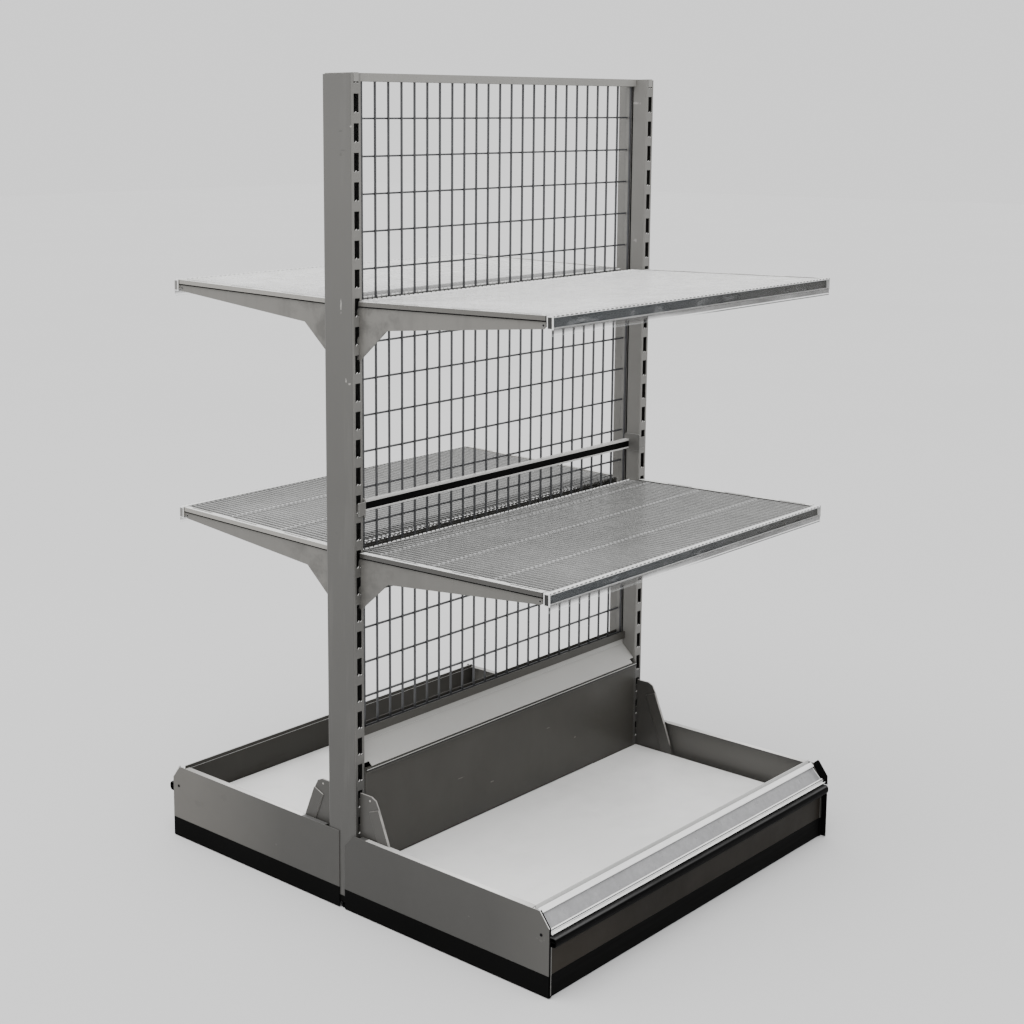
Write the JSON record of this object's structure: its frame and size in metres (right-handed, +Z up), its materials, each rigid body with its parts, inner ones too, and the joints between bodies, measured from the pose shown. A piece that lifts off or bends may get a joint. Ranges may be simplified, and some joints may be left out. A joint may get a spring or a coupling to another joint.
{
  "type": "double-sided wire shelving",
  "caption": "Free-standing double-sided shop shelving: slotted uprights, wire back panel, wire shelves on hook-in brackets and a base tray on each side.",
  "frame": {"origin": "on the floor under the middle of the bay", "axes": "X along the bay, Y from the front side to the back side, Z up; the crossbar is on the front side, which faces -Y"},
  "size_m": [0.894, 0.9966, 1.5218],
  "materials": {
    "upright_paint": "satin warm grey powder coat",
    "panel_paint": "satin warm grey powder coat",
    "dark_paint": "satin dark grey powder coat",
    "brown_paint": "satin dark brown-grey powder coat",
    "light_paint": "satin light grey powder coat",
    "deck_paint": "satin light grey powder coat, faintly stained",
    "deck_wire": "glossy grey coated wire",
    "panel_wire": "satin dark grey coated wire",
    "black_plastic": "matte black",
    "grey_plastic": "glossy grey",
    "ticket_plastic": "glossy dark grey",
    "clear_plastic": "clear"
  },
  "bodies": {
    "root": {"left_upright": "upright_paint", "left_upright_foot": "black_plastic", "right_upright": "upright_paint", "right_upright_foot": "black_plastic", "top_rail": "upright_paint", "bottom_rail": "dark_paint", "wire_back_panel": "panel_wire", "crossbar": "light_paint", "crossbar_insert": "black_plastic", "front_left_side_panel": "panel_paint", "front_left_side_plinth": "black_plastic", "front_left_base_leg": "upright_paint", "front_left_levelling_foot": "black_plastic", "front_right_side_panel": "panel_paint", "front_right_side_plinth": "black_plastic", "front_right_base_leg": "upright_paint", "front_right_levelling_foot": "black_plastic", "front_plinth": "black_plastic", "front_fascia": "brown_paint", "front_base_ticket_rail": "grey_plastic", "front_bumper": "black_plastic", "front_riser": "dark_paint", "front_cover": "light_paint", "front_middle_left_bracket": "panel_paint", "front_middle_right_bracket": "panel_paint", "front_top_left_bracket": "panel_paint", "front_top_right_bracket": "panel_paint", "back_left_side_panel": "panel_paint", "back_left_side_plinth": "black_plastic", "back_left_base_leg": "upright_paint", "back_left_levelling_foot": "black_plastic", "back_right_side_panel": "panel_paint", "back_right_side_plinth": "black_plastic", "back_right_base_leg": "upright_paint", "back_right_levelling_foot": "black_plastic", "back_plinth": "black_plastic", "back_fascia": "brown_paint", "back_base_ticket_rail": "grey_plastic", "back_bumper": "black_plastic", "back_riser": "dark_paint", "back_cover": "light_paint", "back_middle_left_bracket": "panel_paint", "back_middle_right_bracket": "panel_paint", "back_top_left_bracket": "panel_paint", "back_top_right_bracket": "panel_paint"},
    "front_middle_shelf": {"front_middle_shelf_deck": "deck_wire", "front_middle_ticket_rail": "ticket_plastic", "front_middle_ticket_flap": "clear_plastic"},
    "front_top_shelf": {"front_top_shelf_deck": "deck_wire", "front_top_ticket_rail": "ticket_plastic", "front_top_ticket_flap": "clear_plastic"},
    "front_base_shelf": {"front_base_deck": "deck_paint"},
    "back_middle_shelf": {"back_middle_shelf_deck": "deck_wire", "back_middle_ticket_rail": "ticket_plastic", "back_middle_ticket_flap": "clear_plastic"},
    "back_top_shelf": {"back_top_shelf_deck": "deck_wire", "back_top_ticket_rail": "ticket_plastic", "back_top_ticket_flap": "clear_plastic"},
    "back_base_shelf": {"back_base_deck": "deck_paint"}
  },
  "joints": [
    {"name": "front_middle_shelf_lift", "type": "slide", "parent": "root", "child": "front_middle_shelf", "axis": [0, 0, 1], "range_m": [0, 0.03]},
    {"name": "front_top_shelf_lift", "type": "slide", "parent": "root", "child": "front_top_shelf", "axis": [0, 0, 1], "range_m": [0, 0.03]},
    {"name": "front_base_shelf_lift", "type": "slide", "parent": "root", "child": "front_base_shelf", "axis": [0, 0, 1], "range_m": [0, 0.03]},
    {"name": "back_middle_shelf_lift", "type": "slide", "parent": "root", "child": "back_middle_shelf", "axis": [0, 0, 1], "range_m": [0, 0.03]},
    {"name": "back_top_shelf_lift", "type": "slide", "parent": "root", "child": "back_top_shelf", "axis": [0, 0, 1], "range_m": [0, 0.03]},
    {"name": "back_base_shelf_lift", "type": "slide", "parent": "root", "child": "back_base_shelf", "axis": [0, 0, 1], "range_m": [0, 0.03]}
  ]
}
